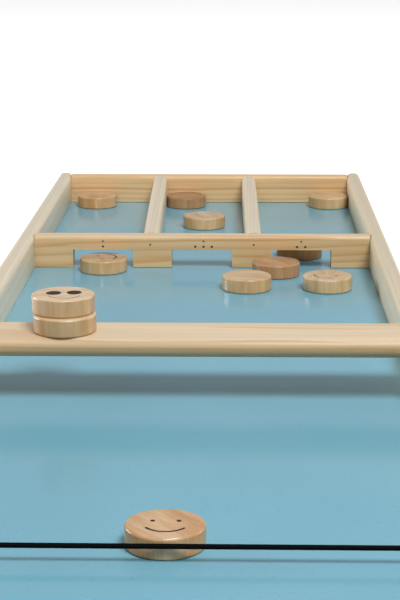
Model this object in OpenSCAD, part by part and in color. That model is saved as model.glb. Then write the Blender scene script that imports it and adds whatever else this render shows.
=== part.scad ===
// Table-top shuffleboard with an elastic launcher, a crossbar, three scoring gates and twelve wooden discs.
// +X to the right, +Y from the player towards the gates, +Z up.
// The origin is the centre of the flat underside. Places along the board are given from its front edge.

/* [Playing panel] */
// Length of the board from its front edge to its back
board_l = 1300; // [1280:1:1360]
// Clear width of the playing surface between the side rails
lane_w = 372; // [366:1:392]
// Thickness of the painted panel
panel_t = 9; // [6:1:12]
// Rounding of the panel's corners, seen from above
panel_corner_r = 3; // [1:0.5:6]
// Chamfer along the panel's upper front edge
panel_chamfer = 1; // [0.5:0.1:1.5]

/* [Wooden frame] */
// Thickness of the pine strips
strip_t = 18; // [16:1:20]
// Height of the side rails above the playing surface
rail_h = 37.5; // [34:0.5:44]
// Height of the gate board, dividers and back board
board_h = 36.5; // [34:0.5:40]
// Rounding of the long upper edges of the side rails
rail_r = 7; // [3:0.5:8]
// Rounding of the upper edges of the other strips
edge_r = 4.5; // [2:0.5:8]
// Chamfer along the lower edges of the strips that stand on the panel
foot_chamfer = 0.8; // [0.2:0.1:1.5]
// Front of the crossbar, from the front edge
crossbar_y = 380; // [340:1:420]
// Width of the crossbar along the board
crossbar_w = 62; // [50:1:70]
// Thickness of the crossbar, whose front and back edges are half round
crossbar_t = 16; // [14:1:20]

/* [Scoring gates] */
// Front face of the gate board, from the front edge
gate_y = 880; // [876:1:884]
// Width of each gate
gate_w = 67; // [60:1:70]
// Height of each gate above the playing surface
gate_h = 20.5; // [18:0.5:23]
// Distance between the middles of neighbouring gates
gate_pitch = 110; // [106:1:114]
// Distance from the board's centre line to the middle of each divider
divider_x = 58.5; // [56:0.5:60]
// Sideways offset that both dividers share
divider_shift = -3; // [-4:0.5:4]
// Turn of the left divider, seen from above
left_divider_turn = 1.2; // [0:0.1:1.2]
// Turn of the right divider, seen from above
right_divider_turn = 0.6; // [0:0.1:1.2]
// Diameter of a score dot
pip_d = 2.6; // [2:0.1:3.5]
// Spacing of the score dots
pip_pitch = 9.2; // [7:0.1:10]
// Height of the lower row of dots above the playing surface
pip_z = 24; // [23.5:0.1:25]
// Height of the upper dot above the lower row
pip_rise = 6; // [4:0.5:7]

/* [Elastic] */
// Diameter of the elastic cord
elastic_d = 3.5; // [2.5:0.1:4]
// Distance of the elastic from the front edge
elastic_y = 54; // [40:0.5:54]
// Height of the elastic above the playing surface
elastic_z = 11; // [6:0.1:12]
// Length of the middle stretch that the disc pushes against
elastic_mid_l = 40; // [20:1:60]
// Diameter of each end knot
knot_d = 8.6; // [7:0.1:9]

/* [Discs] */
// Diameter of a disc
disc_d = 52; // [50:0.5:52]
// Thickness of a disc
disc_t = 15; // [12:0.5:16]
// Rounding of a disc's edges
disc_r = 1.8; // [0.5:0.1:3]

/* [Hidden] */
$fn = 48;
surface_z = panel_t;
board_w = lane_w + 2 * strip_t;
rail_x = lane_w / 2 + strip_t / 2;
y_front = -board_l / 2;
back_y = board_l - strip_t;
crossbar_z = surface_z + rail_h;
stack_z = crossbar_z + crossbar_t;
divider_l = back_y - gate_y - strip_t;
divider_middle_y = gate_y + strip_t + divider_l / 2;
// Middles of the left and the right divider, and how far each is turned
divider_xs = [divider_shift - divider_x, divider_shift + divider_x];
divider_turns = [left_divider_turn, right_divider_turn];
// Middle line of divider i across the board, at a distance y from the front edge
function divider_x_at(i, y) = divider_xs[i] - (y - divider_middle_y) * tan(divider_turns[i]);
// Score dots of each gate, in steps of the dot spacing (x) and the dot rise (z)
PIPS = [
    [[0, 0], [0, 1]],
    [[-0.8, 0], [0.2, 0], [1.2, 0], [0.2, 1]],
    [[-0.5, 0], [0.5, 0], [0, 1]]
];
pip_depth = 0.6;
// Places of the discs: x from the centre line, distance from the front edge, height above the panel
launch_at = [-4.4, 82.3, 0];
stack_lower_at = [-101.4, 407.8, rail_h + crossbar_t];
stack_upper_at = [-103, 413.6, rail_h + crossbar_t + disc_t];
field_left_at = [49.5, 780.9, 0];
field_middle_at = [81.8, 848, 0];
field_right_at = [134.3, 782, 0];
gate_disc_at = [-108.3, 865.8, 0];
right_lane_at = [110.3, 940.9, 0];
middle_lane_at = [-2.6, 1114.9, 0];
disc_gap = 0.3;
back_disc_y = back_y - disc_d / 2 - 0.5;
left_back_at = [-148.9, back_disc_y, 0];
middle_back_at = [divider_x_at(0, back_disc_y) + (strip_t + disc_d) / 2 + disc_gap, back_disc_y, 0];
right_back_at = [(lane_w - disc_d) / 2 - disc_gap, back_disc_y, 0];
// Fasteners
screw_d = 3.5;
screw_head_d = 7;
screw_head_h = 2.4;
panel_screw_l = 26;
crossbar_screw_l = 36;
brad_d = 1.6;
brad_head_d = 2.4;
brad_head_h = 1.2;
brad_sink = 0.4;
brad_l = 42;
// Cord hole through each rail, with a pocket for the knot outside
cord_hole_d = elastic_d + 0.8;
knot_pocket_d = 10;
knot_pocket_depth = 9;
knot_l = 7;
knot_r = 1.6;

RAIL_SCREW_YS = [110, 355, 650, 945, 1240];
GATE_SCREW_XS = [-153, -52, 52, 153];
BACK_SCREW_XS = [-120, 0, 120];
DIVIDER_SCREW_YS = [990, 1190];
CROSSBAR_SCREW_DYS = [-13, 13];
// Brads through the rails: distance from the front edge and height above the surface
RAIL_BRADS = [for (y = [gate_y + strip_t / 2, back_y + strip_t / 2], z = [9, 27]) [y, z]];
divider_brad_z = 26;

PINE = [0.86, 0.74, 0.55];
BEECH = [0.83, 0.68, 0.50];
BLUE = [0.45, 0.66, 0.72];
STEEL = [0.72, 0.72, 0.70];
INK = [0.12, 0.10, 0.09];

// ---- Shapes that repeat ----

// Outline of a strip standing on its edge, w wide and h high, with both upper corners rounded by r
module strip_outline(w, h, r) {
    difference() {
        union() {
            translate([-w / 2, 0]) square([w, h - r]);
            translate([r - w / 2, 0]) square([w - 2 * r, h]);
            for (side = [-1, 1]) translate([side * (w / 2 - r), h - r]) circle(r);
        }
        for (side = [-1, 1]) translate([side * w / 2, 0]) rotate(45)
            square(foot_chamfer * sqrt(2), center = true);
    }
}

// Strip that runs along Y from y0 for a length l, with its underside at the playing surface
module strip_along_y(y0, l, w, h, r) {
    translate([0, y_front + y0 + l, surface_z]) rotate([90, 0, 0]) linear_extrude(l)
        strip_outline(w, h, r);
}

// Strip that runs along X between the rails, with its front face at y0
module strip_along_x(y0, l, w, h, r) {
    translate([-l / 2, y_front + y0 + w / 2, surface_z]) rotate([90, 0, 90]) linear_extrude(l)
        strip_outline(w, h, r);
}

// Countersunk wood screw that points up, with its head's flat face at z = 0
module screw(l) {
    cylinder(d1 = screw_head_d, d2 = screw_d, h = screw_head_h);
    cylinder(d = screw_d, h = l - 3);
    translate([0, 0, l - 3]) cylinder(d1 = screw_d, d2 = 0.8, h = 3);
}

// The same screw with a cross recess in its head
module crosshead_screw(l) {
    difference() {
        screw(l);
        for (a = [0, 90]) rotate(a) translate([-1.8, -0.35, -1]) cube([3.6, 0.7, 2.2]);
    }
}

// Brad that points along +Z, its head just under the face at z = 0
module brad(l) {
    translate([0, 0, brad_sink]) {
        cylinder(d = brad_head_d, h = brad_head_h);
        cylinder(d = brad_d, h = l);
    }
}

// Hole for a brad, open at the face
module brad_hole() {
    brad(brad_l);
    translate([0, 0, -1]) cylinder(d = brad_head_d, h = 1 + brad_sink);
}

// Round disc with rounded edges, standing on z = 0
module disc_solid() {
    rotate_extrude($fn = 96) {
        square([disc_d / 2 - disc_r, disc_t]);
        translate([0, disc_r]) square([disc_d / 2, disc_t - 2 * disc_r]);
        for (z = [disc_r, disc_t - disc_r]) translate([disc_d / 2 - disc_r, z]) circle(disc_r);
    }
}

module disc_at(at) {
    color(BEECH) translate([at[0], y_front + at[1], surface_z + at[2]]) disc_solid();
}

// Every place of a fastener group, as children
module at_rail_screws() {
    for (side = [-1, 1], y = RAIL_SCREW_YS) translate([side * rail_x, y_front + y, 0]) children();
}
module at_gate_screws() {
    for (x = GATE_SCREW_XS) translate([x, y_front + gate_y + strip_t / 2, 0]) children();
}
module at_back_screws() {
    for (x = BACK_SCREW_XS) translate([x, y_front + back_y + strip_t / 2, 0]) children();
}
module at_divider_screws() {
    for (i = [0, 1], y = DIVIDER_SCREW_YS) translate([divider_x_at(i, y), y_front + y, 0]) children();
}
module at_crossbar_screws() {
    for (side = [-1, 1], dy = CROSSBAR_SCREW_DYS)
        translate([side * rail_x, y_front + crossbar_y + crossbar_w / 2 + dy, stack_z])
            rotate([180, 0, 0]) children();
}
module at_rail_brads(side) {
    for (b = RAIL_BRADS)
        translate([side * board_w / 2, y_front + b[0], surface_z + b[1]]) rotate([0, -side * 90, 0])
            children();
}
module at_gate_brads() {
    for (i = [0, 1])
        translate([divider_x_at(i, gate_y + strip_t), y_front + gate_y, surface_z + divider_brad_z])
            rotate([-90, 0, 0]) children();
}
module at_back_brads() {
    for (i = [0, 1])
        translate([divider_x_at(i, back_y), y_front + board_l, surface_z + divider_brad_z])
            rotate([90, 0, 0]) children();
}
module at_gate_dots(gate) {
    for (p = PIPS[gate])
        translate([(gate - 1) * gate_pitch + p[0] * pip_pitch, y_front + gate_y,
                   surface_z + pip_z + p[1] * pip_rise])
            rotate([-90, 0, 0]) children();
}

// ---- Panel and wooden frame ----

module base_panel() {
    color(BLUE) difference() {
        linear_extrude(panel_t) {
            translate([-board_w / 2, y_front + panel_corner_r])
                square([board_w, board_l - 2 * panel_corner_r]);
            translate([panel_corner_r - board_w / 2, y_front])
                square([board_w - 2 * panel_corner_r, board_l]);
            for (sx = [-1, 1], sy = [-1, 1])
                translate([sx * (board_w / 2 - panel_corner_r), sy * (board_l / 2 - panel_corner_r)])
                    circle(panel_corner_r);
        }
        translate([-board_w / 2 - 1, y_front, panel_t - panel_chamfer]) rotate([90, 0, 90])
            linear_extrude(board_w + 2) polygon([[-1, -1], [-1, 2], [panel_chamfer + 1, 2]]);
        at_rail_screws() screw(panel_screw_l);
        at_gate_screws() screw(panel_screw_l);
        at_back_screws() screw(panel_screw_l);
        at_divider_screws() screw(panel_screw_l);
    }
}

// Side rail: -1 is the left one, 1 the right one
module side_rail(side) {
    color(PINE) difference() {
        translate([side * rail_x, 0, 0]) strip_along_y(0, board_l, strip_t, rail_h, rail_r);
        // hole for the elastic, with the knot's pocket in the outer face
        translate([side * rail_x, y_front + elastic_y, surface_z + elastic_z]) rotate([0, 90, 0])
            cylinder(d = cord_hole_d, h = strip_t + 2, center = true);
        translate([side * (board_w / 2 + 1), y_front + elastic_y, surface_z + elastic_z])
            rotate([0, -side * 90, 0]) cylinder(d = knot_pocket_d, h = knot_pocket_depth + 1);
        at_rail_screws() screw(panel_screw_l);
        at_crossbar_screws() screw(crossbar_screw_l);
        at_rail_brads(side) brad_hole();
    }
}

module back_board() {
    color(PINE) difference() {
        strip_along_x(back_y, lane_w, strip_t, board_h, edge_r);
        at_back_screws() screw(panel_screw_l);
        for (side = [-1, 1]) at_rail_brads(side) brad_hole();
        at_back_brads() brad_hole();
    }
}

// Crossbar that lies across both rails, with half-round front and back edges
module crossbar() {
    r = crossbar_t / 2;
    color(PINE) difference() {
        translate([-board_w / 2, y_front + crossbar_y, crossbar_z]) rotate([90, 0, 90])
            linear_extrude(board_w) {
                translate([r, 0]) square([crossbar_w - 2 * r, crossbar_t]);
                for (y = [r, crossbar_w - r]) translate([y, r]) circle(r);
            }
        at_crossbar_screws() screw(crossbar_screw_l);
    }
}

module gate_board() {
    color(PINE) difference() {
        strip_along_x(gate_y, lane_w, strip_t, board_h, edge_r);
        for (gate = [-1, 0, 1])
            translate([gate * gate_pitch - gate_w / 2, y_front + gate_y - 1, surface_z - 1])
                cube([gate_w, strip_t + 2, gate_h + 1]);
        for (gate = [0, 1, 2]) at_gate_dots(gate) cylinder(d = pip_d, h = pip_depth);
        at_gate_screws() screw(panel_screw_l);
        for (side = [-1, 1]) at_rail_brads(side) brad_hole();
        at_gate_brads() brad_hole();
    }
}

// Divider, turned a little and cut off square at the gate board and the back board: 0 is the left one
module divider(i) {
    spare = 10;
    start = (board_l - divider_l) / 2 - spare;
    color(PINE) difference() {
        intersection() {
            translate([divider_xs[i], y_front + divider_middle_y, 0]) rotate(divider_turns[i])
                strip_along_y(start, divider_l + 2 * spare, strip_t, board_h, rail_r);
            translate([-lane_w / 2, y_front + gate_y + strip_t, surface_z])
                cube([lane_w, divider_l, board_h]);
        }
        at_divider_screws() screw(panel_screw_l);
        at_gate_brads() brad_hole();
        at_back_brads() brad_hole();
    }
}

module gate_dots(gate) {
    color(INK) at_gate_dots(gate) cylinder(d = pip_d, h = pip_depth);
}

// ---- Fasteners ----

module rail_screws() { color(STEEL) at_rail_screws() crosshead_screw(panel_screw_l); }
module gate_screws() { color(STEEL) at_gate_screws() crosshead_screw(panel_screw_l); }
module back_board_screws() { color(STEEL) at_back_screws() crosshead_screw(panel_screw_l); }
module divider_screws() { color(STEEL) at_divider_screws() crosshead_screw(panel_screw_l); }
module crossbar_screws() { color(STEEL) at_crossbar_screws() crosshead_screw(crossbar_screw_l); }
module rail_brads(side) { color(STEEL) at_rail_brads(side) brad(brad_l); }
module gate_brads() { color(STEEL) at_gate_brads() brad(brad_l); }
module back_brads() { color(STEEL) at_back_brads() brad(brad_l); }

// ---- Elastic ----

// Straight stretch of the elastic between two places across the board
module elastic_stretch(x0, x1) {
    color(INK) translate([x0, y_front + elastic_y, surface_z + elastic_z]) rotate([0, 90, 0])
        cylinder(d = elastic_d, h = x1 - x0);
}

knot_inner_x = board_w / 2 - knot_pocket_depth;
module elastic_left_run() { elastic_stretch(-knot_inner_x, launch_at[0] - elastic_mid_l / 2); }
module elastic_middle() {
    elastic_stretch(launch_at[0] - elastic_mid_l / 2, launch_at[0] + elastic_mid_l / 2);
}
module elastic_right_run() { elastic_stretch(launch_at[0] + elastic_mid_l / 2, knot_inner_x); }

// Knot that sits in the rail's pocket, as its rounded outer shape
module knot(side) {
    color(INK) translate([side * knot_inner_x, y_front + elastic_y, surface_z + elastic_z])
        rotate([0, side * 90, 0]) rotate_extrude() {
            square([knot_d / 2 - knot_r, knot_l]);
            translate([0, knot_r]) square([knot_d / 2, knot_l - 2 * knot_r]);
            for (z = [knot_r, knot_l - knot_r]) translate([knot_d / 2 - knot_r, z]) circle(knot_r);
        }
}

base_panel();
side_rail(-1);  // left_side_rail
side_rail(1);  // right_side_rail
back_board();
crossbar();
gate_board();
divider(0);  // left_divider
divider(1);  // right_divider
gate_dots(0);  // left_gate_dots
gate_dots(1);  // middle_gate_dots
gate_dots(2);  // right_gate_dots
rail_screws();
gate_screws();
back_board_screws();
divider_screws();
crossbar_screws();
rail_brads(-1);  // left_rail_brads
rail_brads(1);  // right_rail_brads
gate_brads();
back_brads();
elastic_left_run();
elastic_middle();
elastic_right_run();
knot(-1);  // left_knot
knot(1);  // right_knot
disc_at(launch_at);  // launch_disc
disc_at(stack_lower_at);  // stack_lower_disc
disc_at(stack_upper_at);  // stack_upper_disc
disc_at(field_left_at);  // field_left_disc
disc_at(field_middle_at);  // field_middle_disc
disc_at(field_right_at);  // field_right_disc
disc_at(gate_disc_at);  // gate_disc
disc_at(right_lane_at);  // right_lane_disc
disc_at(middle_lane_at);  // middle_lane_disc
disc_at(left_back_at);  // left_back_disc
disc_at(middle_back_at);  // middle_back_disc
disc_at(right_back_at);  // right_back_disc
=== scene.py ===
"""Looks of a table-top shuffleboard: wood, lacquer, elastic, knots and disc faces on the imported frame."""

import math

import bpy
from mathutils import Matrix, Vector


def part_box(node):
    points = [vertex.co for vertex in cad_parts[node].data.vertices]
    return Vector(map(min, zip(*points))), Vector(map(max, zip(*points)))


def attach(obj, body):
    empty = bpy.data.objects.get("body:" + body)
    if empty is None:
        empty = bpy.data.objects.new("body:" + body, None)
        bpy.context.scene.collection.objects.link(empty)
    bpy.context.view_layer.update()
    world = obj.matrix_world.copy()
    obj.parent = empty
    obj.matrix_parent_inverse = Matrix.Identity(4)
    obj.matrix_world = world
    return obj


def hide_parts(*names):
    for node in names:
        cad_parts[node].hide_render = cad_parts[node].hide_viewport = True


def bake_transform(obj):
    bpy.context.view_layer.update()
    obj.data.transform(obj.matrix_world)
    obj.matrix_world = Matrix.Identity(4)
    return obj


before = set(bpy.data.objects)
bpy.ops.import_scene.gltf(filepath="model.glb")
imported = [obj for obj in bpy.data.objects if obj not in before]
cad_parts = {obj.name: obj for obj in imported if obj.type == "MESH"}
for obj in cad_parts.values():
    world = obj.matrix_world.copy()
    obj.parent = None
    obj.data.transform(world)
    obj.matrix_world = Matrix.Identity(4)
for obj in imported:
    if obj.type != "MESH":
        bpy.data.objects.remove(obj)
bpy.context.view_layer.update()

MM = 0.001

# ---- Camera: a player's view down the board, placed from the panel's front edge ----

CAMERA_BEHIND_EDGE = 0.87366
CAMERA_ABOVE_SURFACE = 0.39646
CAMERA_TO_RIGHT = 0.04205
CAMERA_TURN = math.radians(1.4457)
CAMERA_TILT = math.radians(13.8746)
CAMERA_ROLL = math.radians(-0.12506)
CAMERA_LENS_MM = 96.9


def make_camera():
    panel_low, panel_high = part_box("base_panel")
    y = panel_low.y - CAMERA_BEHIND_EDGE
    z = panel_high.z + CAMERA_ABOVE_SURFACE
    flat = math.cos(CAMERA_TILT)
    ahead = Vector((-math.sin(CAMERA_TURN) * flat, math.cos(CAMERA_TURN) * flat, -math.sin(CAMERA_TILT)))
    level = Vector((math.cos(CAMERA_TURN), math.sin(CAMERA_TURN), 0))
    upright = level.cross(ahead)
    right = level * math.cos(CAMERA_ROLL) + upright * math.sin(CAMERA_ROLL)
    up = upright * math.cos(CAMERA_ROLL) - level * math.sin(CAMERA_ROLL)
    data = bpy.data.cameras.new("camera")
    data.lens = CAMERA_LENS_MM
    camera = bpy.data.objects.new("camera", data)
    turn = Matrix((right, up, -ahead)).transposed().to_4x4()
    camera.matrix_world = Matrix.Translation((CAMERA_TO_RIGHT, y, z)) @ turn
    bpy.context.collection.objects.link(camera)
    bpy.context.scene.camera = camera


# ---- Light and floor ----

# World strength behind the player and beyond the board, and the directions' Y between which it changes
SKY_BEHIND_PLAYER = 0.10
SKY_BEYOND_BOARD = 0.44
SKY_CHANGE_Y = (-0.9, 1.0)

# Sun: direction it shines from, strength, angular size in radians
SUN_FROM = (0.3, -0.5, 1.0)
SUN_STRENGTH = 0.62
SUN_ANGLE = 0.4

# Softboxes that face the board's middle: name, place, size, watts
SOFTBOXES = [
    ("key", (0.96, -1.94, 3.2), (1.5, 1.5), 102),
    ("left_fill", (-4.1, 1.6, 0.66), (2.4, 1.0), 122),
    ("right_fill", (4.1, 1.6, 0.66), (2.4, 1.0), 60),
]

# Spotlight on the far end: place, target, watts, cone, radius
FAR_SPOT_PLACE = (-0.3, -2.5, 0.85)
FAR_SPOT_TARGET = (0, 1.7, 0)
FAR_SPOT_WATTS = 90
FAR_SPOT_CONE = math.radians(17)
FAR_SPOT_RADIUS = 0.3

# Floor: half its width, and how far it lies under the board
FLOOR_HALF = 40.0
FLOOR_DROP = 0.4 * MM

# Floor's glow: its full strength, then how the share of it, held between 0 and 1, goes: rise per metre
# along Y, value at the board's middle, and the distance from there at which it starts all round
GLOW_STRENGTH = 0.46
GLOW_RISE = 2.0
GLOW_AT_MIDDLE = 1.2
GLOW_ROUND = 1.8


def aimed_light(name, kind, place, target, energy):
    """Light at a place in metres, facing a target point."""
    data = bpy.data.lights.new(name, kind)
    data.energy = energy
    light = bpy.data.objects.new(name, data)
    light.location = place
    light.rotation_mode = "QUATERNION"
    light.rotation_quaternion = (Vector(place) - Vector(target)).to_track_quat("Z", "Y")
    bpy.context.collection.objects.link(light)
    return data


def softbox(name, place, size, watts):
    data = aimed_light(name, "AREA", place, (0, 0, 0), watts)
    data.shape = "RECTANGLE"
    data.size, data.size_y = size


def make_sky():
    """White world that is brighter beyond the board than behind the player."""
    world = bpy.data.worlds.new("studio")
    world.use_nodes = True
    nodes, links = world.node_tree.nodes, world.node_tree.links
    sky = nodes["Background"]
    sky.inputs["Color"].default_value = (1.0, 1.0, 1.0, 1)
    parts = nodes.new("ShaderNodeSeparateXYZ")
    links.new(nodes.new("ShaderNodeTexCoord").outputs["Generated"], parts.inputs[0])
    across = nodes.new("ShaderNodeMapRange")
    across.interpolation_type = "SMOOTHSTEP"
    links.new(parts.outputs["Y"], across.inputs["Value"])
    across.inputs["From Min"].default_value, across.inputs["From Max"].default_value = SKY_CHANGE_Y
    across.inputs["To Min"].default_value = SKY_BEHIND_PLAYER
    across.inputs["To Max"].default_value = SKY_BEYOND_BOARD
    links.new(across.outputs["Result"], sky.inputs["Strength"])
    bpy.context.scene.world = world


def make_studio():
    make_sky()
    bpy.context.scene.view_settings.view_transform = "Standard"
    overhead = aimed_light("overhead", "SUN", SUN_FROM, (0, 0, 0), SUN_STRENGTH)
    overhead.angle = SUN_ANGLE
    for name, place, size, watts in SOFTBOXES:
        softbox(name, place, size, watts)
    far_spot = aimed_light("far_spot", "SPOT", FAR_SPOT_PLACE, FAR_SPOT_TARGET, FAR_SPOT_WATTS)
    far_spot.spot_size = FAR_SPOT_CONE
    far_spot.spot_blend = 1.0
    far_spot.shadow_soft_size = FAR_SPOT_RADIUS


def make_floor(mat):
    corners = [(sx * FLOOR_HALF, sy * FLOOR_HALF, 0) for sx, sy in ((-1, -1), (1, -1), (1, 1), (-1, 1))]
    data = bpy.data.meshes.new("floor")
    data.from_pydata(corners, [], [(0, 1, 2, 3)])
    floor = bpy.data.objects.new("floor", data)
    floor.location.z = -FLOOR_DROP
    data.materials.append(mat)
    bpy.context.collection.objects.link(floor)


# ---- Material building ----

class Graph:
    """One material's nodes, with short calls that add a node and join it up."""

    def __init__(self, name):
        self.mat = bpy.data.materials.new(name)
        self.mat.use_nodes = True
        self.tree = self.mat.node_tree
        self.shader = self.tree.nodes["Principled BSDF"]

    def feed(self, socket, value):
        if isinstance(value, bpy.types.NodeSocket):
            self.tree.links.new(value, socket)
        else:
            socket.default_value = value

    def shade(self, **values):
        """Sets or joins sockets of the Principled shader, with _ for a space in a name."""
        for key, value in values.items():
            self.feed(self.shader.inputs[key.replace("_", " ")], value)

    def math(self, operation, *values):
        node = self.tree.nodes.new("ShaderNodeMath")
        node.operation = operation
        for socket, value in zip(node.inputs, values):
            self.feed(socket, value)
        return node.outputs[0]

    def object_point(self):
        return self.tree.nodes.new("ShaderNodeTexCoord").outputs["Object"]

    def split(self, vector):
        node = self.tree.nodes.new("ShaderNodeSeparateXYZ")
        self.feed(node.inputs[0], vector)
        return node.outputs

    def join(self, x, y, z):
        node = self.tree.nodes.new("ShaderNodeCombineXYZ")
        for socket, value in zip(node.inputs, (x, y, z)):
            self.feed(socket, value)
        return node.outputs[0]

    def scaled(self, vector, scale, shift=(0, 0, 0)):
        node = self.tree.nodes.new("ShaderNodeMapping")
        self.feed(node.inputs["Vector"], vector)
        node.inputs["Scale"].default_value = scale
        node.inputs["Location"].default_value = shift
        return node.outputs[0]

    def shifted(self, vector, shift):
        return self.scaled(vector, (1, 1, 1), shift)

    def turned(self, vector, angle, scale):
        """The vector turned about Z by an angle, then scaled along its new axes."""
        node = self.tree.nodes.new("ShaderNodeMapping")
        self.feed(node.inputs["Vector"], vector)
        node.inputs["Rotation"].default_value = (0, 0, angle)
        return self.scaled(node.outputs[0], scale)

    def noise(self, vector, scale, detail=2.0, roughness=0.5):
        node = self.tree.nodes.new("ShaderNodeTexNoise")
        self.feed(node.inputs["Vector"], vector)
        node.inputs["Scale"].default_value = scale
        node.inputs["Detail"].default_value = detail
        node.inputs["Roughness"].default_value = roughness
        return node.outputs["Fac"]

    def ramp(self, value, stops):
        """Colour ramp; stops are (position, grey or colour)."""
        node = self.tree.nodes.new("ShaderNodeValToRGB")
        points = node.color_ramp.elements
        while len(points) < len(stops):
            points.new(0.5)
        for point, (position, colour) in zip(points, stops):
            point.position = position
            point.color = (*colour, 1) if isinstance(colour, tuple) else (colour, colour, colour, 1)
        self.feed(node.inputs["Fac"], value)
        return node.outputs["Color"]

    def mix(self, factor, first, second, blend="MIX"):
        node = self.tree.nodes.new("ShaderNodeMix")
        node.data_type = "RGBA"
        node.blend_type = blend
        self.feed(node.inputs[0], factor)
        for socket, value in ((node.inputs[6], first), (node.inputs[7], second)):
            self.feed(socket, (*value, 1) if isinstance(value, tuple) else value)
        return node.outputs[2]

    def paint_side_shading(self, colour, side_shading_factor):
        """Painted shading: the colour, multiplied by a factor where the surface turns away from straight up,
        so that sides come out darker or lighter than tops, as light would make them.
        """
        upward = self.split(self.tree.nodes.new("ShaderNodeTexCoord").outputs["Normal"])[2]
        shaded_sides = self.mix(1.0, colour, side_shading_factor, "MULTIPLY")
        return self.mix(self.ramp(upward, [(0.25, 0.0), (0.95, 1.0)]), shaded_sides, colour)

    def bump(self, height, depth, strength):
        node = self.tree.nodes.new("ShaderNodeBump")
        node.inputs["Strength"].default_value = strength
        node.inputs["Distance"].default_value = depth
        self.feed(node.inputs["Height"], height)
        return node.outputs["Normal"]


# ---- Wood ----

# Order of (across, across, along) for a grain that runs along each axis
GRAIN_ORDER = {"X": (1, 2, 0), "Y": (0, 2, 1)}


def wood(name, grain, heart, ring, tones, contrast, seed, drift, wander, streaking, painted_side_shading):
    """Wood with growth rings round the line `heart` (metres across the grain), a ring each `ring` metres.
    `tones` are the colours of its early and late wood.
    `drift` is how far the heart moves sideways per metre of length, and `wander` how many rings it sways.
    `streaking` is how strongly fine streaks show, from 0 to 1.
    The last argument multiplies the colour of the faces that do not look up: painted shade and light on the
    sides against the top."""
    g = Graph(name)
    parts = g.split(g.object_point())
    first, second, along = (parts[i] for i in GRAIN_ORDER[grain])
    across_a = g.math("MULTIPLY_ADD", along, drift[0], first)
    across_b = g.math("MULTIPLY_ADD", along, drift[1], second)
    point = g.join(across_a, across_b, along)
    # slow waves that run with the grain
    waves = g.noise(g.scaled(point, (1, 1, 0.10), (seed, -seed, 0.3 * seed)), 26, 2.0)
    eddies = g.noise(g.scaled(point, (1, 1, 0.05), (seed, seed, 0.0)), 120, 1.0)
    offset_a = g.math("SUBTRACT", across_a, heart[0])
    offset_b = g.math("SUBTRACT", across_b, heart[1])
    radius = g.math("SQRT", g.math("ADD", g.math("MULTIPLY", offset_a, offset_a),
                                   g.math("MULTIPLY", offset_b, offset_b)))
    wavy = g.math("ADD", g.math("DIVIDE", radius, ring),
                  g.math("ADD", g.math("MULTIPLY", waves, wander), g.math("MULTIPLY", eddies, 0.5)))
    season = g.math("FRACT", wavy)
    year = g.math("FLOOR", wavy)
    latewood = g.ramp(season, [(0.0, 0.05), (0.45, 0.10), (0.86, 1.0), (0.97, 0.55), (1.0, 0.05)])
    luck = g.tree.nodes.new("ShaderNodeTexWhiteNoise")
    luck.noise_dimensions = "1D"
    g.feed(luck.inputs["W"], g.math("ADD", year, seed))
    strength = g.math("MULTIPLY_ADD", luck.outputs["Value"], 0.75, 0.25)
    late = g.math("MULTIPLY", g.math("MULTIPLY", latewood, strength), contrast)
    colour = g.mix(late, *tones)
    # fibres, pores and slow changes of tone
    fibres = g.noise(g.scaled(point, (1, 1, 0.008), (0, seed, 0)), 1300, 2.0, 0.5)
    streaks = g.noise(g.scaled(point, (1, 1, 0.02), (seed, 0, 0)), 230, 2.0, 0.5)
    tone = g.noise(g.scaled(point, (1, 1, 0.25), (seed, seed, seed)), 14, 2.0)
    colour = g.mix(0.12, colour, g.ramp(fibres, [(0.30, 0.45), (0.70, 1.0)]), "MULTIPLY")
    colour = g.mix(streaking, colour, g.ramp(streaks, [(0.32, 0.60), (0.62, 1.0)]), "MULTIPLY")
    ageing = g.ramp(tone, [(0.30, (1.0, 0.84, 0.66)), (0.70, (1.0, 1.0, 1.0))])
    colour = g.mix(0.30, colour, ageing, "MULTIPLY")
    # painted shading: faces that do not look up come out darker or lighter than the top
    g.shade(Base_Color=g.paint_side_shading(colour, painted_side_shading), Specular_IOR_Level=0.45)
    g.shade(Roughness=g.math("MULTIPLY_ADD", fibres, 0.12, 0.30))
    g.shade(Normal=g.bump(g.math("ADD", fibres, g.math("MULTIPLY", latewood, 0.35)), 0.03 * MM, 0.25))
    return g.mat


# Early and late wood
PALE_PINE = ((0.72, 0.64, 0.50), (0.54, 0.43, 0.28))
DULL_PINE = ((0.66, 0.58, 0.44), (0.50, 0.39, 0.24))
CREAM_PINE = ((0.75, 0.61, 0.43), (0.58, 0.38, 0.20))
WARM_PINE = ((0.78, 0.54, 0.29), (0.55, 0.27, 0.08))
GATE_PINE = ((0.74, 0.60, 0.42), (0.66, 0.40, 0.19))
BEECH = ((0.68, 0.52, 0.35), (0.57, 0.37, 0.18))
TAN_BEECH = ((0.66, 0.46, 0.28), (0.54, 0.31, 0.14))
PALE_BEECH = ((0.79, 0.61, 0.42), (0.66, 0.45, 0.25))
RED_BEECH = ((0.53, 0.33, 0.19), (0.42, 0.23, 0.12))
BROWN_BEECH = ((0.41, 0.22, 0.11), (0.32, 0.16, 0.07))
# dark wood of the disc behind the right gate, made darker still by painted shade of the gate board over it
DARK_BEECH_WITH_PAINTED_SHADE = ((0.28, 0.17, 0.08), (0.21, 0.12, 0.05))

# How many rings the grain sways and how much it is streaked: calm and straight in the rails and dividers
CROSS_GRAIN = (2.2, 0.24)
RAIL_GRAIN = (0.8, 0.13)

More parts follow.
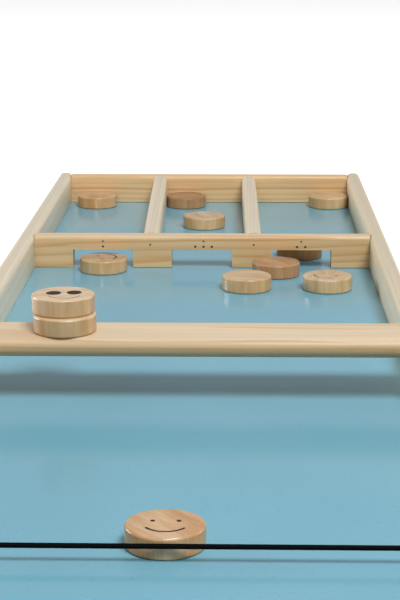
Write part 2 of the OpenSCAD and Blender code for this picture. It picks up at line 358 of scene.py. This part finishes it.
# Strips: grain axis, heart (across, across), ring spacing, tones, contrast, seed, drift
STRIPS = {
    "left_side_rail": ("Y", (-0.25, 0.055), 0.0042, PALE_PINE, 0.45, 1.7, (0.006, 0.002)),
    "right_side_rail": ("Y", (0.262, 0.050), 0.0040, DULL_PINE, 0.45, 5.2, (-0.005, 0.003)),
    "back_board": ("X", (0.560, 0.075), 0.0044, WARM_PINE, 0.80, 3.1, (0.020, 0.010)),
    "crossbar": ("X", (-0.25, -0.060), 0.0052, CREAM_PINE, 0.70, 7.4, (0.010, 0.006)),
    "gate_board": ("X", (0.150, 0.080), 0.0058, GATE_PINE, 1.35, 9.3, (0.020, -0.008)),
    "left_divider": ("Y", (-0.10, 0.060), 0.0043, PALE_PINE, 0.45, 11.8, (0.006, 0.002)),
    "right_divider": ("Y", (0.11, 0.065), 0.0040, PALE_PINE, 0.45, 14.5, (-0.006, 0.002)),
}

# Painted shading of a strip's faces that do not look up, against its top: darker or lighter sides for how
# light falls on them; no change where none is given
NO_PAINTED_SHADING = (1.0, 1.0, 1.0)
STRIP_PAINTED_SHADING_BY_NODE = {
    "crossbar": (0.80, 0.70, 0.54),
    "gate_board": (0.99, 0.87, 0.67),
    "right_side_rail": (1.20, 1.20, 1.18),
}

DISCS = [
    "launch_disc", "stack_lower_disc", "stack_upper_disc", "field_left_disc", "field_middle_disc",
    "field_right_disc", "gate_disc", "right_lane_disc", "middle_lane_disc", "left_back_disc",
    "middle_back_disc", "right_back_disc",
]
DISC_TONES = {
    "launch_disc": TAN_BEECH,
    "left_back_disc": TAN_BEECH,
    "stack_lower_disc": PALE_BEECH,
    "stack_upper_disc": PALE_BEECH,
    "field_middle_disc": RED_BEECH,
    "middle_back_disc": BROWN_BEECH,
    "right_lane_disc": DARK_BEECH_WITH_PAINTED_SHADE,
}

# Painted shading of the discs' sides against their tops: warmer, darker or lighter sides for how light falls
# on them
DEFAULT_DISC_PAINTED_SHADING = (1.10, 1.02, 0.87)
DISC_PAINTED_SHADING_BY_NODE = {
    "launch_disc": (1.13, 1.15, 1.12),
    "stack_lower_disc": (0.72, 0.66, 0.53),
    "stack_upper_disc": (0.72, 0.66, 0.53),
    "middle_back_disc": (1.35, 1.45, 1.45),
}


def disc_wood(node, index):
    """Beech with upright fibres and broad streaks across the top, turned another way on each disc."""
    g = Graph(node + "_beech")
    low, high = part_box(node)
    centre = (low + high) / 2
    point = g.shifted(g.object_point(), (-centre.x, -centre.y, 0.37 * index))
    angle = math.radians(-40 + 47 * index)
    early, late = DISC_TONES.get(node, BEECH)
    bands = g.noise(g.turned(point, angle, (1, 0.22, 0.10)), 95, 2.0, 0.5)
    streaks = g.noise(g.turned(point, angle, (1, 0.12, 0.03)), 430, 2.0, 0.55)
    pores = g.noise(g.turned(point, angle, (1, 0.10, 0.02)), 1900, 3.0, 0.6)
    patches = g.noise(point, 55, 2.0)
    colour = g.mix(g.ramp(bands, [(0.34, 0.0), (0.66, 1.0)]), early, late)
    colour = g.mix(0.30, colour, g.ramp(streaks, [(0.30, 0.62), (0.66, 1.0)]), "MULTIPLY")
    colour = g.mix(0.24, colour, g.ramp(pores, [(0.30, 0.40), (0.62, 1.0)]), "MULTIPLY")
    warmth = g.ramp(patches, [(0.30, (1.0, 0.90, 0.78)), (0.70, (1.0, 1.0, 1.0))])
    colour = g.mix(0.5, colour, warmth, "MULTIPLY")
    # painted shading: the disc's sides come out darker or lighter than its top
    colour = g.paint_side_shading(colour, DISC_PAINTED_SHADING_BY_NODE.get(node, DEFAULT_DISC_PAINTED_SHADING))
    g.shade(Base_Color=colour, Specular_IOR_Level=0.5)
    g.shade(Roughness=g.math("MULTIPLY_ADD", pores, 0.10, 0.15))
    g.shade(Normal=g.bump(g.math("ADD", pores, g.math("MULTIPLY", streaks, 0.5)), 0.04 * MM, 0.3))
    return g.mat


# ---- Lacquer, elastic, steel, ink, floor ----

def blue_lacquer():
    g = Graph("blue_lacquer")
    point = g.object_point()
    clouds = g.noise(point, 6, 3.0)
    grain = g.noise(point, 900, 2.0, 0.6)
    specks = g.noise(g.shifted(point, (3, 1, 2)), 420, 1.0)
    cloudy = g.ramp(clouds, [(0.3, 0.0), (0.7, 1.0)])
    colour = g.mix(cloudy, (0.168, 0.410, 0.526), (0.186, 0.430, 0.546))
    colour = g.mix(0.16, colour, g.ramp(grain, [(0.35, 0.70), (0.65, 1.0)]), "MULTIPLY")
    colour = g.mix(g.ramp(specks, [(0.70, 0.0), (0.76, 0.35)]), colour, (0.06, 0.20, 0.26))
    g.shade(Base_Color=colour, Specular_IOR_Level=0.29)
    g.shade(Roughness=g.math("MULTIPLY_ADD", clouds, 0.04, 0.12))
    orange_peel = g.noise(point, 260, 2.0, 0.5)
    g.shade(Normal=g.bump(orange_peel, 0.2 * MM, 0.12))
    return g.mat


def braided_elastic():
    g = Graph("braided_elastic")
    point = g.object_point()
    fuzz = g.noise(point, 2600, 2.0, 0.6)
    lit = g.ramp(fuzz, [(0.3, 0.0), (0.7, 1.0)])
    g.shade(Base_Color=g.mix(lit, (0.0010, 0.0011, 0.0013), (0.0030, 0.0033, 0.0038)))
    g.shade(Roughness=g.math("MULTIPLY_ADD", fuzz, 0.2, 0.6), Specular_IOR_Level=0.05)
    g.shade(Normal=g.bump(fuzz, 0.08 * MM, 0.5))
    return g.mat


def zinc_steel():
    g = Graph("zinc_steel")
    point = g.object_point()
    blotches = g.noise(point, 700, 2.0)
    scratches = g.noise(g.scaled(point, (1, 0.12, 1)), 3200, 2.0, 0.6)
    g.shade(Base_Color=g.mix(blotches, (0.56, 0.54, 0.47), (0.70, 0.70, 0.68)), Metallic=1.0)
    g.shade(Roughness=g.math("MULTIPLY_ADD", scratches, 0.25, 0.22))
    g.shade(Normal=g.bump(scratches, 0.04 * MM, 0.4))
    return g.mat


def dark_steel():
    """Brad heads, dulled and darkened in their holes."""
    g = Graph("dark_steel")
    blotches = g.noise(g.object_point(), 1500, 2.0)
    g.shade(Base_Color=g.mix(blotches, (0.06, 0.05, 0.04), (0.20, 0.17, 0.13)), Metallic=0.3)
    g.shade(Roughness=g.math("MULTIPLY_ADD", blotches, 0.3, 0.4))
    return g.mat


def dot_ink(middle_height):
    """Score dots: the ink of those above the middle height is thinner."""
    g = Graph("dot_ink")
    point = g.object_point()
    patches = g.noise(point, 1600, 3.0, 0.6)
    upper = g.math("GREATER_THAN", g.split(point)[2], middle_height)
    dark = g.mix(patches, (0.010, 0.012, 0.016), (0.045, 0.045, 0.050))
    thin = g.mix(patches, (0.10, 0.12, 0.17), (0.20, 0.22, 0.28))
    g.shade(Base_Color=g.mix(upper, dark, thin), Specular_IOR_Level=0.3)
    g.shade(Roughness=g.math("MULTIPLY_ADD", patches, 0.2, 0.5))
    return g.mat


def burnt_ink(name, deep, faded):
    """Marking that is deep in some patches and faded in others."""
    g = Graph(name)
    patches = g.noise(g.object_point(), 1600, 3.0, 0.6)
    g.shade(Base_Color=g.mix(g.ramp(patches, [(0.35, 0.0), (0.70, 1.0)]), deep, faded))
    g.shade(Roughness=g.math("MULTIPLY_ADD", patches, 0.2, 0.5), Specular_IOR_Level=0.3)
    return g.mat


def pale_floor():
    g = Graph("pale_floor")
    faint = g.noise(g.object_point(), 3.0, 2.0)
    g.shade(Base_Color=g.mix(faint, (0.93, 0.93, 0.93), (0.95, 0.95, 0.95)))
    g.shade(Roughness=0.9, Specular_IOR_Level=0.1)
    # the glow keeps the background white; there is none just in front of the board
    x, y, _ = g.split(g.object_point())
    away = g.math("SQRT", g.math("ADD", g.math("MULTIPLY", x, x), g.math("MULTIPLY", y, y)))
    beyond = g.math("MULTIPLY_ADD", y, GLOW_RISE, GLOW_AT_MIDDLE)
    glow = g.math("MAXIMUM", beyond, g.math("SUBTRACT", away, GLOW_ROUND))
    glow = g.math("MINIMUM", g.math("MAXIMUM", glow, 0.0), 1.0)
    g.shade(Emission_Color=(1.0, 1.0, 1.0, 1), Emission_Strength=g.math("MULTIPLY", glow, GLOW_STRENGTH))
    return g.mat


def paint(node, mat):
    """Gives a CAD node its material."""
    for material_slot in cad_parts[node].material_slots:
        material_slot.material = mat


# ---- Mesh building ----

def new_piece(name, verts, faces, mat, body=None):
    data = bpy.data.meshes.new(name)
    data.from_pydata([tuple(v) for v in verts], [], faces)
    data.materials.append(mat)
    for polygon in data.polygons:
        polygon.use_smooth = True
    data.update()
    piece = bpy.data.objects.new(name, data)
    bpy.context.collection.objects.link(piece)
    if body:
        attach(piece, body)
    return piece


def tube_faces(rings, sides):
    """Faces of a tube of that many rings, capped at both ends."""
    faces = []
    for near in range(0, (rings - 1) * sides, sides):
        far = near + sides
        faces += [[near + s, near + (s + 1) % sides, far + (s + 1) % sides, far + s] for s in range(sides)]
    faces.append(list(range(sides))[::-1])
    faces.append([(rings - 1) * sides + s for s in range(sides)])
    return faces


# ---- Elastic ----

BRAID_STRANDS = 8
BRAID_PITCH = 9 * MM
BRAID_RELIEF = 0.07 * MM
BRAID_SIDES = 32
BRAID_STEP = 0.28 * MM


def braid_radius(radius, x, angle):
    """Radius of the braided sheath: two families of strands that wind in opposite directions."""
    turn = 2 * math.pi * x / BRAID_PITCH
    rising = math.cos(BRAID_STRANDS * (angle - turn))
    falling = math.cos(BRAID_STRANDS * (angle + turn))
    return radius - BRAID_RELIEF + 0.5 * BRAID_RELIEF * (rising + falling)


def braided_stretch(name, x0, x1, y, z, radius, mat):
    """Straight braided cord along X, as one closed mesh."""
    if x0 > x1:
        x0, x1 = x1, x0
    rings = max(2, round((x1 - x0) / BRAID_STEP) + 1)
    verts = []
    for i in range(rings):
        x = x0 + (x1 - x0) * i / (rings - 1)
        for s in range(BRAID_SIDES):
            angle = 2 * math.pi * s / BRAID_SIDES
            r = braid_radius(radius, x, angle)
            verts.append((x, y + r * math.cos(angle), z + r * math.sin(angle)))
    return new_piece(name, verts, tube_faces(rings, BRAID_SIDES), mat)


# Shares of the way from the rail to the middle at which a run is split, so that it draws out nearly straight
RUN_CUTS = (0.0, 0.1, 0.9, 1.0)


def make_elastic(mat):
    low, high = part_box("elastic_middle")
    y, z, radius = (low.y + high.y) / 2, (low.z + high.z) / 2, (high.z - low.z) / 2
    middle = braided_stretch("elastic_middle_cord", low.x, high.x, y, z, radius, mat)
    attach(middle, "elastic")
    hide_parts("elastic_middle")
    for side, run, moving in (("left", "elastic_left_run", low.x), ("right", "elastic_right_run", high.x)):
        run_low, run_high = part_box(run)
        rail_low, rail_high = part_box(side + "_side_rail")
        knot_end = run_low.x if side == "left" else run_high.x
        bend_start = rail_high.x if side == "left" else rail_low.x
        for i, (s0, s1) in enumerate(zip(RUN_CUTS, RUN_CUTS[1:])):
            x0, x1 = (bend_start + (moving - bend_start) * s for s in (s0, s1))
            piece = braided_stretch(f"{run}_cord_{i + 1}", knot_end if i == 0 else x0, x1, y, z, radius, mat)
            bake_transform(piece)
            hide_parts(run)


# ---- End knots: a stopper knot wound round the cord ----

KNOT_TURNS = 2.6
KNOT_STRAND = 1.3 * MM
KNOT_SIDES = 20
KNOT_STEPS = 92

# Share of the coil's way over which it winds out from the cord, and back in again
KNOT_LEAD = 0.12

# The coil's thin ends: their share of the full thickness, and the steps over which it is reached
KNOT_END_SHARE = 0.55
KNOT_END_STEPS = 6

# The cord's end, which runs through the coil: radius, how far it stands out of the knot, and the
# (distance back from its end, radius) of the melted tip
TAIL_RADIUS = 1.4 * MM
TAIL_OUT = 1.2 * MM
TAIL_TIP = [(1.0 * MM, TAIL_RADIUS), (0.5 * MM, 1.2 * MM), (0.15 * MM, 0.7 * MM), (0, 0.25 * MM)]


def sweep(points, radii, sides):
    """Vertices of a round tube along the points, with its cross-section carried along without twist."""
    verts = []
    tangents = [(points[min(i + 1, len(points) - 1)] - points[max(i - 1, 0)]).normalized()
                for i in range(len(points))]
    normal = tangents[0].orthogonal().normalized()
    for point, tangent, radius in zip(points, tangents, radii):
        normal = (normal - tangent * normal.dot(tangent)).normalized()
        binormal = tangent.cross(normal)
        for s in range(sides):
            angle = 2 * math.pi * s / sides
            verts.append(point + (normal * math.cos(angle) + binormal * math.sin(angle)) * radius)
    return verts


def knot_path(inner, outward, length, winding):
    """Points of the coil round the cord: in from the rail, KNOT_TURNS turns, then back to the middle."""
    points = []
    for i in range(KNOT_STEPS + 1):
        t = i / KNOT_STEPS
        lead = min(1.0, t / KNOT_LEAD, (1 - t) / KNOT_LEAD)
        reach = winding * (0.25 + 0.75 * math.sin(0.5 * math.pi * lead))
        angle = 2 * math.pi * KNOT_TURNS * t
        x = inner.x + outward * (KNOT_STRAND + (length - 2 * KNOT_STRAND) * t)
        points.append(Vector((x, inner.y + reach * math.cos(angle), inner.z + reach * math.sin(angle))))
    return points


def make_knot(side, outward, mat):
    node = side + "_knot"
    low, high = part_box(node)
    inner = Vector((low.x if outward > 0 else high.x, (low.y + high.y) / 2, (low.z + high.z) / 2))
    length = high.x - low.x
    winding = (high.z - low.z) / 2 - KNOT_STRAND
    path = knot_path(inner, outward, length, winding)
    from_end = [min(i, len(path) - 1 - i) / KNOT_END_STEPS for i in range(len(path))]
    taper = [KNOT_STRAND * min(1.0, KNOT_END_SHARE + (1 - KNOT_END_SHARE) * n) for n in from_end]
    verts = sweep(path, taper, KNOT_SIDES)
    faces = tube_faces(len(path), KNOT_SIDES)
    tail = [(0, TAIL_RADIUS), (0.5 * MM, TAIL_RADIUS)]
    tail += [(length + TAIL_OUT - back, radius) for back, radius in TAIL_TIP]
    core = [Vector((inner.x + outward * reach, inner.y, inner.z)) for reach, _ in tail]
    base = len(verts)
    verts += sweep(core, [radius for _, radius in tail], KNOT_SIDES)
    faces += [[base + i for i in face] for face in tube_faces(len(core), KNOT_SIDES)]
    piece = new_piece(side + "_stopper_knot", verts, faces, mat, "table")
    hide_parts(node)


# ---- Disc faces ----

INK_RELIEF = 0.05 * MM
INK_SINK = 0.04 * MM
OVAL_STEPS = 40
MOUTH_STEPS = 28
CAP_STEPS = 6


def oval(centre, half):
    """Outline of an oval, in millimetres from the disc's middle."""
    angles = [2 * math.pi * i / OVAL_STEPS for i in range(OVAL_STEPS)]
    return [(centre[0] + half[0] * math.cos(a), centre[1] + half[1] * math.sin(a)) for a in angles]


def smile(left, bottom, right, width):
    """Outline of a stroke of that width along the arc through three points, with round ends."""
    (ax, ay), (bx, by), (cx, cy) = left, bottom, right
    d = 2 * (ax * (by - cy) + bx * (cy - ay) + cx * (ay - by))
    a2, b2, c2 = ax * ax + ay * ay, bx * bx + by * by, cx * cx + cy * cy
    ox = (a2 * (by - cy) + b2 * (cy - ay) + c2 * (ay - by)) / d
    oy = (a2 * (cx - bx) + b2 * (ax - cx) + c2 * (bx - ax)) / d
    radius = math.hypot(ax - ox, ay - oy)
    start, end = math.atan2(ay - oy, ax - ox), math.atan2(cy - oy, cx - ox)
    if end < start:
        end += 2 * math.pi

    def at(r, angle):
        return (ox + r * math.cos(angle), oy + r * math.sin(angle))

    def cap(angle, first):
        """Half circle round an end of the stroke."""
        x, y = at(radius, angle)
        return [(x + width / 2 * math.cos(first + math.pi * i / CAP_STEPS),
                 y + width / 2 * math.sin(first + math.pi * i / CAP_STEPS)) for i in range(1, CAP_STEPS)]

    sweep_angles = [start + (end - start) * i / MOUTH_STEPS for i in range(MOUTH_STEPS + 1)]
    outer = [at(radius + width / 2, a) for a in sweep_angles]
    inner = [at(radius - width / 2, a) for a in reversed(sweep_angles)]
    return outer + cap(end, end) + inner + cap(start, start + math.pi)


# Eyes and mouths, in millimetres from the disc's middle
SMALL_EYES = [oval((-8.1, 4.0), (1.6, 1.75)), oval((8.6, 4.0), (1.6, 1.75))]
BIG_EYES = [oval((-8.0, 1.7), (6.3, 6.6)), oval((8.7, 3.5), (6.2, 6.8))]
SMILE = smile((-11.7, -7.8), (0.5, -14.2), (12.2, -8.2), 1.8)
THIN_SMILE = smile((-11.0, -8.8), (2.5, -16.4), (14.2, -7.7), 0.7)

# Disc, outlines, turn in degrees, ink
FACES = [
    ("launch_disc", SMALL_EYES + [SMILE], 0, "dark"),
    ("stack_upper_disc", BIG_EYES + [THIN_SMILE], 0, "dark"),
    ("field_right_disc", SMALL_EYES + [SMILE], -40, "faint"),
    ("gate_disc", SMALL_EYES + [SMILE], 110, "brown"),
    ("left_back_disc", SMALL_EYES + [SMILE], 4, "faint"),
]


def make_face(disc, outlines, turn, mat):
    low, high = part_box(disc)
    centre = (low + high) / 2
    c, s = math.cos(math.radians(turn)), math.sin(math.radians(turn))
    verts, faces = [], []
    for outline in outlines:
        base, n = len(verts), len(outline)
        for height in (-INK_SINK, INK_RELIEF):
            verts += [(centre.x + (x * c - y * s) * MM, centre.y + (x * s + y * c) * MM, high.z + height)
                      for x, y in outline]
        faces += [[base + i, base + (i + 1) % n, base + n + (i + 1) % n, base + n + i] for i in range(n)]
        faces.append([base + i for i in range(n)][::-1])
        faces.append([base + n + i for i in range(n)])
    piece = new_piece(disc + "_face", verts, faces, mat, disc)
    for polygon in piece.data.polygons:
        polygon.use_smooth = False


# ---- Everything together ----

def paint_frame():
    for node, (grain, heart, ring, tones, contrast, seed, drift) in STRIPS.items():
        wander, streaking = RAIL_GRAIN if grain == "Y" else CROSS_GRAIN
        # painted shading of the strip's sides against its top
        side_shading_factor = STRIP_PAINTED_SHADING_BY_NODE.get(node, NO_PAINTED_SHADING)
        paint(node, wood(node + "_pine", grain, heart, ring, tones, contrast, seed, drift,
                         wander, streaking, side_shading_factor))
    for index, node in enumerate(DISCS):
        paint(node, disc_wood(node, index))
    paint("base_panel", blue_lacquer())
    steel = zinc_steel()
    dull_steel = dark_steel()
    dots_low, dots_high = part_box("middle_gate_dots")
    dots = dot_ink((dots_low.z + dots_high.z) / 2)
    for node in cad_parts:
        if node.endswith("_screws"):
            paint(node, steel)
        if node.endswith("_brads"):
            paint(node, dull_steel)
        if node.endswith("_dots"):
            paint(node, dots)


make_camera()
make_studio()
make_floor(pale_floor())
paint_frame()
elastic = braided_elastic()
make_elastic(elastic)
make_knot("left", -1, elastic)
make_knot("right", 1, elastic)
inks = {
    "dark": burnt_ink("face_ink", (0.010, 0.007, 0.005), (0.040, 0.028, 0.020)),
    "brown": burnt_ink("brown_face_ink", (0.05, 0.03, 0.02), (0.12, 0.075, 0.045)),
    "faint": burnt_ink("faint_face_ink", (0.16, 0.09, 0.05), (0.26, 0.16, 0.09)),
}
for disc, outlines, turn, ink in FACES:
    make_face(disc, outlines, turn, inks[ink])
